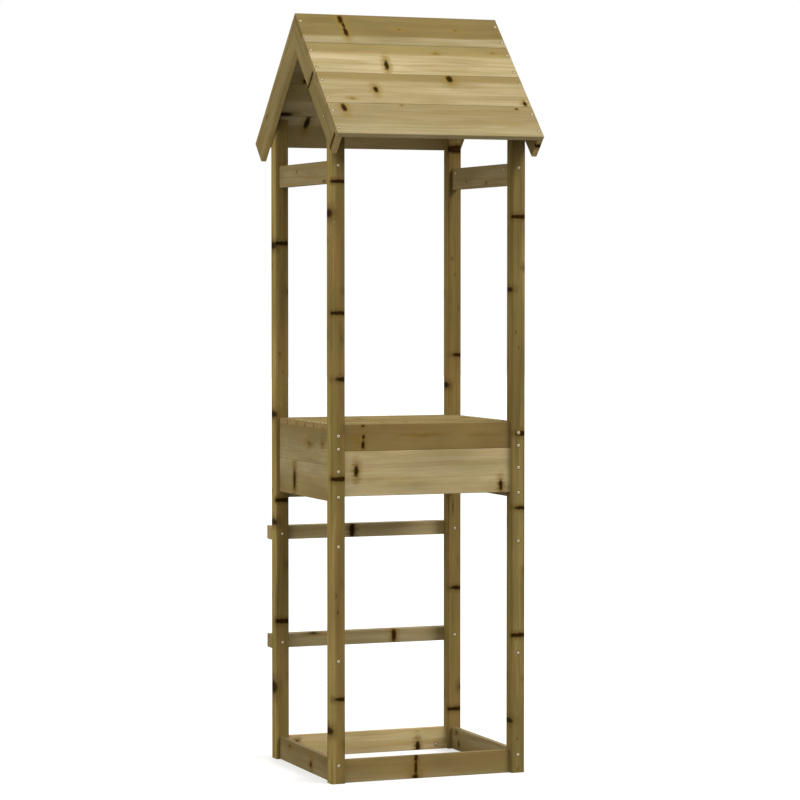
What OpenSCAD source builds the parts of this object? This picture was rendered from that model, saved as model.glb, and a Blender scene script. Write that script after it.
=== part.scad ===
// Play tower of pine timber: four posts, a boarded platform, two back rungs and a gable roof.
// Millimetres. +Z is up, the front is towards -Y, and the origin lies on the ground under the middle.

/* [Posts] */
// Side of the square posts
post_w = 36; // [28:1:60]
// Height of the posts
post_h = 1680; // [1500:5:1900]
// Distance over the posts from left to right
frame_w = 525; // [420:5:900]
// Distance over the posts from front to back
frame_d = 465; // [380:5:800]
// Radius of the eased long edges of a post
post_ease = 3; // [0.5:0.5:6]

/* [Boards] */
// Thickness of every board in the frame, the platform and the roof
board_t = 14; // [10:1:20]
// Radius of the eased long edges of a board
board_ease = 1.5; // [0.5:0.5:3]
// Height of the ground boards
base_board_h = 59; // [40:1:100]

/* [Platform] */
// Height of the platform's walking surface
platform_z = 900; // [700:10:1100]
// Open joint between two floor boards
floor_gap = 6.6; // [2:0.2:10]
// Height of each of the two boards in a side panel
side_board_h = 90; // [60:1:110]
// Height of the upper board of the front panel
front_upper_h = 67; // [40:1:90]
// Height of the lower board of the front panel
front_lower_h = 113; // [80:1:150]
// Height of the upper board of the back panel
back_upper_h = 90; // [60:1:110]
// Height of the middle board of the back panel
back_middle_h = 60; // [40:1:90]
// Height of the lower board of the back panel
back_lower_h = 60; // [40:1:90]

/* [Rails and rungs] */
// Height of the upper side rails
rail_h = 57; // [40:1:90]
// Distance from the top of a post down to the top of a side rail
rail_drop = 121; // [80:1:250]
// Height of the section of a climbing rung
rung_h = 36; // [28:1:50]
// Depth of the section of a climbing rung
rung_t = 36; // [18:1:50]
// Height of the middle of the lower rung
rung_lower_z = 308; // [200:1:400]
// Distance from the middle of the lower rung to the middle of the upper one
rung_rise = 287; // [200:1:320]

/* [Roof] */
// Slope of the roof from level, in degrees
roof_slope = 45; // [35:1:50]
// Distance that the eave stands out from the posts' front and back faces, on the level
eave_out = 86; // [40:1:140]
// Upright distance from the outer edge of a post's top to the roof boards
post_roof_gap = 7.7; // [2:0.1:20]
// Joint between two roof boards
roof_gap = 0.7; // [0.3:0.1:6]
// Depth of a rafter, square to the slope
rafter_h = 54; // [40:1:90]

/* [Hidden] */
$fn = 48;

// Colours of the impregnated timber, by how the light finds them
post_color = "#7A6B40";
board_color = "#9C8A60";
roof_color = "#B9A676";

// Directions from the middle of the frame
left = -1;
right = 1;
front = -1;
back = 1;

// Middle of a post, from the middle of the frame
post_x = frame_w / 2 - post_w / 2;
post_y = frame_d / 2 - post_w / 2;
// Clear distance between two posts
bay_w = frame_w - 2 * post_w;
bay_d = frame_d - 2 * post_w;

// The floor boards lie on the upper edges of the side panels and fill the bay
floor_board_count = 6;
floor_under_z = platform_z - board_t;
floor_board_w = (bay_d - (floor_board_count - 1) * floor_gap) / floor_board_count;
floor_board_l = 2 * post_x + board_t;
floor_pitch = floor_board_w + floor_gap;

// The roof boards' outer faces meet at the ridge, clear above the posts
slope_rise = tan(roof_slope);
slope_run = cos(roof_slope);
ridge_z = post_h + post_roof_gap + frame_d / 2 * slope_rise + board_t / slope_run;
// Length over the roof boards, which end flush with the rafters' outer faces
roof_l = frame_w + 2 * board_t;
// Distance along the slope from the ridge to the eave
slope_l = (frame_d / 2 + eave_out) / slope_run;
roof_boards_per_slope = 4;
roof_board_w = (slope_l - (roof_boards_per_slope - 1) * roof_gap) / roof_boards_per_slope;
roof_board_pitch = roof_board_w + roof_gap;
// Middle of a rafter's thickness, which lies on the posts' outer faces
rafter_x = frame_w / 2 + board_t / 2;

// Square section with eased corners
module eased_section(w, h, ease) {
    union() {
        square([w - 2 * ease, h], center = true);
        square([w, h - 2 * ease], center = true);
        for (sx = [-1, 1], sy = [-1, 1])
            translate([sx * (w / 2 - ease), sy * (h / 2 - ease)])
                circle(r = ease);
    }
}

// Board lying along X, with its middle at the origin
module board_along_x(l, depth, h) {
    rotate([90, 0, 90])
        linear_extrude(height = l, center = true)
            eased_section(depth, h, board_ease);
}

// Board lying along Y, with its middle at the origin
module board_along_y(l, depth, h) {
    rotate([90, 0, 0])
        linear_extrude(height = l, center = true)
            eased_section(depth, h, board_ease);
}

// Upright post on the ground
module post(side, face) {
    color(post_color)
        translate([side * post_x, face * post_y, 0])
            linear_extrude(height = post_h)
                eased_section(post_w, post_w, post_ease);
}

// Board between two posts of the front or the back, with its lower edge at z
module cross_board(face, z, h) {
    color(board_color)
        translate([0, face * post_y, z + h / 2])
            board_along_x(bay_w, board_t, h);
}

// Board between the front and back posts of one side, with its lower edge at z
module side_board(side, z, h) {
    color(board_color)
        translate([side * post_x, 0, z + h / 2])
            board_along_y(bay_d, board_t, h);
}

// Floor board, counted from the front
module floor_board(number) {
    color(board_color)
        translate([
            0,
            -bay_d / 2 + floor_board_w / 2 + (number - 1) * floor_pitch,
            platform_z - board_t / 2
        ])
            board_along_x(floor_board_l, floor_board_w, board_t);
}

// Climbing rung across the back faces of the back posts
module rung(z) {
    color(board_color)
        translate([0, frame_d / 2 + rung_t / 2, z])
            board_along_x(frame_w, rung_t, rung_h);
}

// Turns a profile drawn down the slope, with Y as its outward face, into the roof's place
module on_slope(face) {
    translate([0, 0, ridge_z])
        mirror([0, face == front ? 0 : 1, 0])
            rotate([roof_slope, 0, 0])
                children();
}

// Keeps what lies on one side of the upright plane through the ridge, for a mitred joint
module mitred_at_ridge(face) {
    reach = 2 * slope_l;
    intersection() {
        children();
        translate([-roof_l, face == front ? -reach : 0, ridge_z - reach])
            cube([2 * roof_l, reach, 2 * reach]);
    }
}

// Roof board, counted from the ridge down
module roof_board(face, number) {
    // The first board runs on past the ridge by its eased edge, and the mitre takes that off
    over = number == 1 ? board_ease : 0;
    start = (number - 1) * roof_board_pitch - over;
    width = roof_board_w + over;
    color(roof_color)
        mitred_at_ridge(face)
            on_slope(face)
                translate([0, -start - width / 2, -board_t / 2])
                    board_along_x(roof_l, width, board_t);
}

// Rafter on the outer faces of two posts, mitred at the ridge and cut square at its tail
module rafter(side, face) {
    color(board_color)
        mitred_at_ridge(face)
            on_slope(face)
                translate([side * rafter_x, -slope_l / 2, -board_t - rafter_h / 2])
                    board_along_y(slope_l, board_t, rafter_h);
}

module base_board_front() {
    cross_board(front, 0, base_board_h);
}

module base_board_back() {
    cross_board(back, 0, base_board_h);
}

module base_board_left() {
    side_board(left, 0, base_board_h);
}

module base_board_right() {
    side_board(right, 0, base_board_h);
}

// The front and back panels end level with the walking surface
module panel_front_upper() {
    cross_board(front, platform_z - front_upper_h, front_upper_h);
}

module panel_front_lower() {
    cross_board(front, platform_z - front_upper_h - front_lower_h, front_lower_h);
}

module panel_back_upper() {
    cross_board(back, platform_z - back_upper_h, back_upper_h);
}

module panel_back_middle() {
    cross_board(back, platform_z - back_upper_h - back_middle_h, back_middle_h);
}

module panel_back_lower() {
    cross_board(back, platform_z - back_upper_h - back_middle_h - back_lower_h, back_lower_h);
}

// The side panels end under the floor boards and carry them
module panel_left_upper() {
    side_board(left, floor_under_z - side_board_h, side_board_h);
}

module panel_left_lower() {
    side_board(left, floor_under_z - 2 * side_board_h, side_board_h);
}

module panel_right_upper() {
    side_board(right, floor_under_z - side_board_h, side_board_h);
}

module panel_right_lower() {
    side_board(right, floor_under_z - 2 * side_board_h, side_board_h);
}

module top_rail(side) {
    side_board(side, post_h - rail_drop - rail_h, rail_h);
}

post(left, front);  // post_front_left
post(right, front);  // post_front_right
post(left, back);  // post_back_left
post(right, back);  // post_back_right
base_board_front();
base_board_back();
base_board_left();
base_board_right();
panel_front_lower();
panel_front_upper();
panel_back_lower();
panel_back_middle();
panel_back_upper();
panel_left_lower();
panel_left_upper();
panel_right_lower();
panel_right_upper();
floor_board(1);  // floor_board_1
floor_board(2);  // floor_board_2
floor_board(3);  // floor_board_3
floor_board(4);  // floor_board_4
floor_board(5);  // floor_board_5
floor_board(6);  // floor_board_6
top_rail(left);  // top_rail_left
top_rail(right);  // top_rail_right
rung(rung_lower_z);  // rung_lower
rung(rung_lower_z + rung_rise);  // rung_upper
rafter(left, front);  // rafter_front_left
rafter(right, front);  // rafter_front_right
rafter(left, back);  // rafter_back_left
rafter(right, back);  // rafter_back_right
roof_board(front, 1);  // roof_board_front_1
roof_board(front, 2);  // roof_board_front_2
roof_board(front, 3);  // roof_board_front_3
roof_board(front, 4);  // roof_board_front_4
roof_board(back, 1);  // roof_board_back_1
roof_board(back, 2);  // roof_board_back_2
roof_board(back, 3);  // roof_board_back_3
roof_board(back, 4);  // roof_board_back_4
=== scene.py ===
"""Looks of a timber play tower: impregnated pine on every post and board, and the screws that hold them."""

import logging
import math
import random
from dataclasses import asdict, dataclass, field, fields, replace
from enum import Enum

import bpy
from mathutils import Matrix, Vector


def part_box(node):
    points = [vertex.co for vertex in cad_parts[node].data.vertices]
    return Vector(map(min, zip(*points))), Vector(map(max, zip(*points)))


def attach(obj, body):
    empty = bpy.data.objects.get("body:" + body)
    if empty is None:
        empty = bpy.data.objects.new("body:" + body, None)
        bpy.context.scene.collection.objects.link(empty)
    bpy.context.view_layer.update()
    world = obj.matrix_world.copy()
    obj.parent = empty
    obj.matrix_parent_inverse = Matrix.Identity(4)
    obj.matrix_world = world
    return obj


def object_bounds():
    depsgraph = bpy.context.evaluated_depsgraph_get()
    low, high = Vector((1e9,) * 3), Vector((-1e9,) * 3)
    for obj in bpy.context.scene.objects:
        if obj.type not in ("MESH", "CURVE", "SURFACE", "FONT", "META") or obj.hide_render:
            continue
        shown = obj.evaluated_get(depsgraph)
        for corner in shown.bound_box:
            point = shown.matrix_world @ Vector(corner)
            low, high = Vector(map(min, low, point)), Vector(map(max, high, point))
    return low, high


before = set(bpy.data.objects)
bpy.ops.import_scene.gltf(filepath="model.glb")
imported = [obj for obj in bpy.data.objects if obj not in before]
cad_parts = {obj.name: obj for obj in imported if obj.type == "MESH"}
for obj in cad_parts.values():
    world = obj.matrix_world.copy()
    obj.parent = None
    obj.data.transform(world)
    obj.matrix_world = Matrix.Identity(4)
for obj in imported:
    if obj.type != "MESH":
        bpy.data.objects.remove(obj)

Socket = bpy.types.NodeSocket
Tree = bpy.types.NodeTree
Colour = tuple[float, float, float, float]

LOG = logging.getLogger("play_tower")
CAD_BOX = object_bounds()
ROOT = "root"
MM = 0.001
# Length of noise over which the timbers' own places in it are spread
NOISE_SPAN = 90.0

# The roof boards lie at this slope, and the rafters run along it
ROOF_SLOPE = math.radians(45.0)
X_AXIS = Vector((1.0, 0.0, 0.0))
Y_AXIS = Vector((0.0, 1.0, 0.0))
Z_AXIS = Vector((0.0, 0.0, 1.0))
DOWN_FRONT = Vector((0.0, -math.cos(ROOF_SLOPE), -math.sin(ROOF_SLOPE)))
DOWN_BACK = Vector((0.0, math.cos(ROOF_SLOPE), -math.sin(ROOF_SLOPE)))
# Square to the slopes: into the roof at the front, out of it at the back
INTO_FRONT = X_AXIS.cross(DOWN_FRONT)
OUT_BACK = X_AXIS.cross(DOWN_BACK)

# Settings that many nodes share
ADD = {"operation": "ADD"}
SUBTRACT = {"operation": "SUBTRACT"}
MULTIPLY = {"operation": "MULTIPLY"}
MULTIPLY_ADD = {"operation": "MULTIPLY_ADD"}
SCALE = {"operation": "SCALE"}
LENGTH = {"operation": "LENGTH"}
SMOOTH = {"interpolation_type": "SMOOTHSTEP"}
COLOUR_MIX = {"data_type": "RGBA"}
# Sockets of that form of a Mix node, which have no names of their own
MIX_FACTOR = 0
MIX_A = 6
MIX_B = 7
MIX_RESULT = 2


def linear(hex_colour: str) -> Colour:
    """Turns an sRGB hex value into the linear colour that a shader reads.

    Args:
        hex_colour: Colour such as "#B9A676".

    Returns:
        Linear red, green and blue, and an alpha of 1.
    """
    parts = [int(hex_colour[i:i + 2], 16) / 255.0 for i in (1, 3, 5)]
    red, green, blue = [c / 12.92 if c <= 0.04045 else ((c + 0.055) / 1.055) ** 2.4 for c in parts]
    return red, green, blue, 1.0


def grey(share: float) -> Colour:
    """Gives the neutral grey that throws back this share of the light."""
    return share, share, share, 1.0


def blank_tree(owner: bpy.types.Material | bpy.types.World) -> Tree:
    """Gives a new material or world an empty node tree.

    Args:
        owner: Material or world.

    Returns:
        Its tree.
    """
    owner.use_nodes = True
    owner.node_tree.nodes.clear()
    return owner.node_tree


def add_node(
    tree: Tree,
    kind: str,
    settings: dict[str, object] | None = None,
    inputs: dict[int | str, object] | None = None,
    out: int | str = 0,
) -> Socket | None:
    """Adds one node with its settings and links.

    Args:
        tree: Node tree that gets the node.
        kind: Blender's type name of the node.
        settings: Properties of the node by name; "stops" fills a colour ramp.
        inputs: Values or source sockets by input name or place.
        out: Name or place of the output to return.

    Returns:
        The chosen output socket, or None where the node has none.
    """
    node = tree.nodes.new(kind)
    for name, value in (settings or {}).items():
        if name == "stops":
            ramp = node.color_ramp.elements
            while len(ramp) < len(value):
                ramp.new(1.0)
            for element, (place, colour) in zip(ramp, value):
                element.position = place
                element.color = colour
        else:
            setattr(node, name, value)
    for name, value in (inputs or {}).items():
        if isinstance(value, Socket):
            tree.links.new(value, node.inputs[name])
        else:
            node.inputs[name].default_value = value
    return node.outputs[out] if len(node.outputs) else None


def spots(tree: Tree, size: float) -> Socket:
    """Adds an even noise whose spots have this size, in millimetres."""
    place = add_node(tree, "ShaderNodeTexCoord", out="Object")
    return add_node(tree, "ShaderNodeTexNoise", None, {
        "Vector": place, "Scale": 1.0 / (size * MM), "Detail": 2.0,
    })


def box_of(node: str) -> tuple[Vector, Vector]:
    """Gives the lowest and the highest corner of a CAD node."""
    low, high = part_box(node)
    return Vector(low), Vector(high)


class Run(Enum):
    """Way that a timber lies: the directions along, across and through it."""

    UPRIGHT = (Z_AXIS, X_AXIS, Y_AXIS)
    CROSSWISE = (X_AXIS, Z_AXIS, -Y_AXIS)
    FLAT = (X_AXIS, Y_AXIS, Z_AXIS)
    FRONT_TO_BACK = (Y_AXIS, Z_AXIS, X_AXIS)
    ROOF_FRONT = (X_AXIS, DOWN_FRONT, INTO_FRONT)
    ROOF_BACK = (X_AXIS, DOWN_BACK, OUT_BACK)
    RAFTER_FRONT = (DOWN_FRONT, INTO_FRONT, X_AXIS)
    RAFTER_BACK = (DOWN_BACK, OUT_BACK, X_AXIS)

    @property
    def turn(self) -> tuple[float, float, float]:
        """Rotation from the tower's axes to the timber's, as Euler angles."""
        return tuple(Matrix(self.value).transposed().to_euler("XYZ"))


@dataclass(frozen=True)
class Knot:
    """One branch that a timber was sawn through, in millimetres of the timber's own directions.

    Attributes:
        along: Place along the timber, from its middle or, on a post, from the ground.
        across: Place across the face, from the middle.
        half_along: Half of the knot's extent along the timber.
        half_across: Half of its extent across the face.
        through: Place in the depth, from the middle.
        half_through: Half of its extent in the depth, by default more than any board is thick.
        turn: Turn of the knot on the face, in degrees.
        paleness: How far it stays from black, where 0 is a dark knot and 1 only a brown stain.
    """

    along: float
    across: float
    half_along: float
    half_across: float
    through: float = 0.0
    half_through: float = 60.0
    turn: float = 0.0
    paleness: float = 0.0


@dataclass(frozen=True)
class LooseKnots:
    """Knots that are scattered along a board, where the photograph doesn't show its own.

    Attributes:
        length: Length over which they lie, in millimetres.
        width: Width of the board.
        spacing: Usual distance between two knots.
        middle: Middle of that length, from the board's own middle.
        paleness: How far the knots stay from black.
        end_margin: Length at the far end that stays without a knot.
        spread: Share of the width that they keep to, on either side of the middle.
        half_along: Least and greatest half extent along the board.
        stretch: Least and greatest ratio of the extent across to the one along.
        turn: Greatest turn on the face, in degrees.
        first_step: Least and greatest share of the spacing before the first knot.
        next_step: Least and greatest share of the spacing between two knots.
    """

    length: float
    width: float
    spacing: float
    middle: float = 0.0
    paleness: float = 0.0
    end_margin: float = 20.0
    spread: float = 0.42
    half_along: tuple[float, float] = (4.0, 8.0)
    stretch: tuple[float, float] = (1.1, 2.4)
    turn: float = 20.0
    first_step: tuple[float, float] = (0.2, 0.9)
    next_step: tuple[float, float] = (0.6, 1.6)

    def on(self, node: str) -> tuple[Knot, ...]:
        """Scatters the knots on one board.

        Args:
            node: Name of the CAD node, which fixes where they fall.

        Returns:
            The knots.
        """
        draw = random.Random(f"knots {node}")
        knots = []
        place = self.middle - self.length / 2 + draw.uniform(*self.first_step) * self.spacing
        while place < self.middle + self.length / 2 - self.end_margin:
            half = draw.uniform(*self.half_along)
            knots.append(Knot(
                along=place,
                across=draw.uniform(-self.spread, self.spread) * self.width,
                half_along=half,
                half_across=half * draw.uniform(*self.stretch),
                turn=draw.uniform(-self.turn, self.turn),
                paleness=self.paleness,
            ))
            place += self.spacing * draw.uniform(*self.next_step)
        return tuple(knots)


@dataclass(frozen=True)
class Heart:
    """Darker heartwood on one side of a line that wanders along the timber.

    Attributes:
        edge: Place of the line across the face, in millimetres from the middle.
        blend: Half of the width over which the colour changes, in millimetres.
        above: True where the heartwood lies on the positive side.
        depth: Share of the heartwood colour, from 0 to 1.
    """

    edge: float = 0.0
    blend: float = 4.0
    above: bool = True
    depth: float = 0.0


@dataclass(frozen=True)
class Timber:
    """One post or board and the figure that its wood shows.

    Attributes:
        node: Name of the CAD node.
        run: Way that it lies.
        knots: Knots that show on it.
        heart: Heartwood on it.
        tone: Factor on its brightness.
        pith: Place of the tree's middle across and through the timber, in millimetres.
        lean: Tilts of the tree's axis against the timber, in degrees, which make the arches.
        painted_edge_light: Factor on the brightness of its narrow edges, which paints light on them.
    """

    node: str
    run: Run
    knots: tuple[Knot, ...] = ()
    heart: Heart = Heart()
    tone: float = 1.0
    pith: tuple[float, float] = (4.0, -46.0)
    lean: tuple[float, float] = (1.1, 0.4)
    painted_edge_light: float = 1.0

    @property
    def origin(self) -> Vector:
        """Middle of the timber, or for a post the middle of its foot."""
        low, high = box_of(self.node)
        middle = (low + high) / 2
        if self.run is Run.UPRIGHT:
            middle.z = low.z
        return middle

    @property
    def seed(self) -> float:
        """Place in the noise that no other timber shares."""
        return random.Random(self.node).uniform(0.0, NOISE_SPAN)


@dataclass(frozen=True)
class Blots:
    """Blots of a noise that is drawn out along the grain.

    Attributes:
        length: Length of a blot along the grain, in millimetres.
        width: Its width.
        detail: Steps of finer noise on top.
    """

    length: float
    width: float
    detail: float = 2.0


@dataclass(frozen=True)
class TreatedPine:
    """Pine planed smooth and impregnated under pressure with a copper salt.

    The salt dulls the yellow of pine to olive and brown. The eye gets a matt board with soft lengthwise
    streaks, arches of darker late wood, almost black knots and a darker, open end grain. All lengths are
    in millimetres.

    Attributes:
        name: Name that its materials start with.
        early: Colour of the pale early wood.
        late: Colour of the late wood's lines.
        heartwood: Colour of the heartwood.
        olive: Colour of patches that took much salt.
        russet: Colour of streaks that took little.
        end: Colour of the end grain.
        end_share: Share of that colour in the sawn ends.
        knot_core: Colour in the middle of a knot.
        knot_rim: Colour of the bark round it.
        ring: Width of a year's growth, which shows as lines 4 to 6 mm apart on planed pine.
        line_depth: Share of the late wood's colour in its lines.
        fibres: Bundles of fibres, because one fibre is 0.03 mm wide and too fine for the picture.
        fibre_shade: How much lighter or darker a bundle may be.
        streaks: Streaks of salt, which run with the fibres.
        broad_streaks: Length and width of the broad streaks, as ratios to the others.
        streak_depth: Share of a streak's or a patch's colour.
        patches: Patches with much salt.
        clouds: Broad lighter and darker stretches.
        cloud_depth: How much lighter or darker they are.
        bends: Stretches over which the grain bends to one side.
        wander: How far it bends there.
        swirl: How far it bends round a knot.
        fringes: Teeth of a knot's ragged rim.
        fray: How far they reach.
        smears: Streaks in the brown wood round a knot.
        relief: Height of hard wood over soft wood.
        gloss: Specular level, low because open pores swallow most of the mirror light.
        roughness: Least and greatest roughness.
    """

    name: str
    early: str
    late: str
    heartwood: str
    olive: str
    russet: str
    end: str
    end_share: float = 0.55
    knot_core: str = "#2D1900"
    knot_rim: str = "#160C00"
    ring: float = 5.2
    line_depth: float = 0.42
    fibres: Blots = Blots(70.0, 1.4)
    fibre_shade: float = 0.06
    streaks: Blots = Blots(420.0, 7.5, 2.5)
    broad_streaks: tuple[float, float] = (1.4, 1.9)
    streak_depth: float = 0.6
    patches: Blots = Blots(260.0, 30.0, 2.5)
    clouds: Blots = Blots(170.0, 50.0)
    cloud_depth: float = 0.12
    bends: Blots = Blots(340.0, 95.0, 1.5)
    wander: float = 20.0
    swirl: float = 9.0
    fringes: Blots = Blots(14.0, 9.0, 1.0)
    fray: float = 5.0
    smears: Blots = Blots(45.0, 4.0)
    relief: float = 0.35
    gloss: float = 0.015
    roughness: tuple[float, float] = (0.58, 0.8)

    def material(self, timber: Timber) -> bpy.types.Material:
        """Makes the wood of one timber.

        Args:
            timber: Post or board that gets it.

        Returns:
            Material with the timber's own grain, knots and tone.
        """
        material = bpy.data.materials.new(f"{self.name}.{timber.node}")
        WoodFigure(self, timber, blank_tree(material)).build()
        return material


@dataclass
class WoodFigure:
    """The figure of one timber's wood, laid layer by layer into a material's node tree.

    Attributes:
        pine: Finish that gives the colours and the sizes.
        timber: Post or board that gets the wood.
        tree: Node tree of the material.
        local: Place in the timber, in millimetres along, across and through it.
        bent: That place, moved as the grain wanders off the timber's straight edges.
        knots: Distance to the nearest knot, where 1 is its rim.
        late: Share of late wood.
        fibres: Grey of the bundles of fibres.
    """

    # Distances between which a knot's dark wood, the brown wood round it, the bend of the grain and the
    # rise of its face fade out, where 1 is the knot's rim
    DARK_FADE = (0.55, 1.5)
    BROWN_FADE = (0.6, 3.7)
    SWIRL_FADE = (0.8, 3.4)
    RISE_FADE = (0.9, 1.1)
    # A distance at which nothing of a knot is left
    NO_KNOT = 9.0
    # How far the knot's core reaches without a change, and where its rim is darkest
    CORE_END = 0.4
    RIM_PLACE = 0.75
    # Shares of the dark wood and of the brown wood where a knot is strongest
    DARK_SHARE = 0.97
    BROWN_SHARE = 0.8
    # How far a smear moves the edge of the brown wood
    SMEAR_REACH = 0.8
    # Parts that knots, fibres and late wood have in the relief, and the strength of it all
    KNOT_RISE = 0.8
    FIBRE_RISE = 0.6
    LATE_RISE = 0.5
    BUMP_STRENGTH = 0.6
    # Greys between which nearly all of a noise lies
    GREYS = (0.3, 0.7)
    FIBRE_GREYS = (0.25, 0.75)
    # Greys from which a layer of salt starts to show and is full
    OLIVE_GREYS = (0.40, 0.64)
    RUSSET_GREYS = (0.45, 0.66)
    BROAD_GREYS = (0.48, 0.66)
    # A year starts pale, darkens slowly to late wood and ends at a sharp line
    SEASONS = ((0.0, grey(0.0)), (0.5, grey(0.22)), (0.86, grey(1.0)), (1.0, grey(0.0)))
    # A face counts as an edge or an end from where its normal agrees this well with the way across or along
    FACE_FADE = (0.85, 0.97)
    # Middle of the three values of a noise
    NOISE_MIDDLE = (0.5, 0.5, 0.5)

    pine: TreatedPine
    timber: Timber
    tree: Tree
    local: Socket = field(init=False)
    bent: Socket = field(init=False)
    knots: Socket | float = field(init=False)
    late: Socket = field(init=False)
    fibres: Socket = field(init=False)

    def __post_init__(self) -> None:
        """Makes the places and the patterns that several layers share."""
        place = add_node(self.tree, "ShaderNodeTexCoord", out="Object")
        self.local = add_node(self.tree, "ShaderNodeMapping", {"vector_type": "TEXTURE"}, {
            "Vector": place, "Location": self.timber.origin, "Rotation": self.timber.run.turn,
            "Scale": (MM, MM, MM),
        })
        self.bent = self._moved(self.pine.bends, (0.0, self.pine.wander, self.pine.wander))
        self.knots = self._knot_distance()
        self.late = self._late_wood()
        self.fibres = self._noise(self.pine.fibres, self.local)

    def build(self) -> None:
        """Lays the layers over each other and joins them to the material's shader."""
        colour = self._knotted(self._cut_faces(self._shaded(self._sound_wood())))
        low, high = self.pine.roughness
        roughness = add_node(self.tree, "ShaderNodeMapRange", None, {
            "Value": self.fibres, "To Min": low, "To Max": high,
        })
        shader = add_node(self.tree, "ShaderNodeBsdfPrincipled", None, {
            "Base Color": colour,
            "Roughness": roughness,
            "Normal": self._relief(),
            "Specular IOR Level": self.pine.gloss,
        })
        add_node(self.tree, "ShaderNodeOutputMaterial", None, {"Surface": shader})

    def _noise(self, blots: Blots, place: Socket, out: str = "Fac") -> Socket:
        """Adds noise that is drawn out along the grain.

        Args:
            blots: Its blots.
            place: Place in the timber, in millimetres.
            out: Output to return, the grey "Fac" or the three values of "Color".

        Returns:
            The noise.
        """
        scaled = add_node(self.tree, "ShaderNodeMapping", None, {
            "Vector": place,
            "Location": (self.timber.seed, blots.width, blots.length),
            "Scale": (1.0 / blots.length, 1.0 / blots.width, 1.0 / blots.width),
        })
        return add_node(self.tree, "ShaderNodeTexNoise", None, {
            "Vector": scaled, "Scale": 1.0, "Detail": blots.detail,
        }, out)

    def _moved(self, blots: Blots, reach: tuple[float, float, float]) -> Socket:
        """Moves the place in the timber by a noise.

        Args:
            blots: Blots of the noise.
            reach: How far it moves along, across and through the timber, in millimetres.

        Returns:
            The moved place.
        """
        noise = self._noise(blots, self.local, "Color")
        shift = add_node(self.tree, "ShaderNodeVectorMath", SUBTRACT, {0: noise, 1: self.NOISE_MIDDLE})
        return add_node(self.tree, "ShaderNodeVectorMath", MULTIPLY_ADD, {0: shift, 1: reach, 2: self.local})

    def _knot_distance(self) -> Socket | float:
        """Measures how far the nearest knot is.

        Returns:
            Distance that is 1 at the knot's ragged rim, or a far one where the timber has no knot.
        """
        fray = self.pine.fray
        frayed = self._moved(self.pine.fringes, (fray, fray, fray))
        nearest = self.NO_KNOT
        for knot in self.timber.knots:
            inside = add_node(self.tree, "ShaderNodeMapping", {"vector_type": "TEXTURE"}, {
                "Vector": frayed,
                "Location": (knot.along, knot.across, knot.through),
                "Rotation": (0.0, 0.0, math.radians(knot.turn)),
                "Scale": (knot.half_along, knot.half_across, knot.half_through),
            })
            away = add_node(self.tree, "ShaderNodeVectorMath", LENGTH, {0: inside}, "Value")
            paler = add_node(self.tree, "ShaderNodeMath", ADD, {0: away, 1: knot.paleness})
            nearest = add_node(self.tree, "ShaderNodeMath", {"operation": "MINIMUM"}, {0: paler, 1: nearest})
        return nearest

    def _late_wood(self) -> Socket:
        """Draws the year rings as tubes round the tree's middle, pushed aside by the knots.

        Returns:
            Share of late wood.
        """
        across, through = self.timber.pith
        lean_across, lean_through = self.timber.lean
        from_pith = add_node(self.tree, "ShaderNodeMapping", {"vector_type": "TEXTURE"}, {
            "Vector": self.bent,
            "Location": (0.0, across, through),
            "Rotation": (0.0, math.radians(lean_through), math.radians(lean_across)),
        })
        flat = add_node(self.tree, "ShaderNodeVectorMath", MULTIPLY, {0: from_pith, 1: (0.0, 1.0, 1.0)})
        radius = add_node(self.tree, "ShaderNodeVectorMath", LENGTH, {0: flat}, "Value")
        near, far = self.SWIRL_FADE
        swirl = add_node(self.tree, "ShaderNodeMapRange", SMOOTH, {
            "Value": self.knots, "From Min": near, "From Max": far, "To Min": self.pine.swirl, "To Max": 0.0,
        })
        pushed = add_node(self.tree, "ShaderNodeMath", ADD, {0: radius, 1: swirl})
        years = add_node(self.tree, "ShaderNodeMath", {"operation": "DIVIDE"}, {
            0: pushed, 1: self.pine.ring,
        })
        season = add_node(self.tree, "ShaderNodeMath", {"operation": "FRACT"}, {0: years})
        return add_node(self.tree, "ShaderNodeValToRGB", {"stops": self.SEASONS}, {"Fac": season})

    def _sound_wood(self) -> Socket:
        """Mixes the colours of the wood between the knots.

        Returns:
            Colour of early wood, late wood, heartwood and the streaks of salt.
        """
        pine = self.pine
        lines = add_node(self.tree, "ShaderNodeMath", MULTIPLY, {0: self.late, 1: pine.line_depth})
        across = add_node(self.tree, "ShaderNodeSeparateXYZ", None, {0: self.bent}, "Y")
        heart = self.timber.heart
        below, above = (0.0, heart.depth) if heart.above else (heart.depth, 0.0)
        heart_share = add_node(self.tree, "ShaderNodeMapRange", SMOOTH, {
            "Value": across,
            "From Min": heart.edge - heart.blend,
            "From Max": heart.edge + heart.blend,
            "To Min": below,
            "To Max": above,
        })
        layers = [(lines, pine.late), (heart_share, pine.heartwood)]
        longer, wider = pine.broad_streaks
        broad = Blots(pine.streaks.length * longer, pine.streaks.width * wider, pine.streaks.detail)
        for blots, (start, full), tint in (
            (pine.patches, self.OLIVE_GREYS, pine.olive),
            (pine.streaks, self.RUSSET_GREYS, pine.russet),
            (broad, self.BROAD_GREYS, pine.late),
        ):
            noise = self._noise(blots, self.bent)
            salt_share = add_node(self.tree, "ShaderNodeMapRange", None, {
                "Value": noise, "From Min": start, "From Max": full, "To Max": pine.streak_depth,
            })
            layers.append((salt_share, tint))
        colour = linear(pine.early)
        for share, tint in layers:
            colour = add_node(self.tree, "ShaderNodeMix", COLOUR_MIX, {
                MIX_FACTOR: share, MIX_A: colour, MIX_B: linear(tint),
            }, MIX_RESULT)
        return colour

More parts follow.
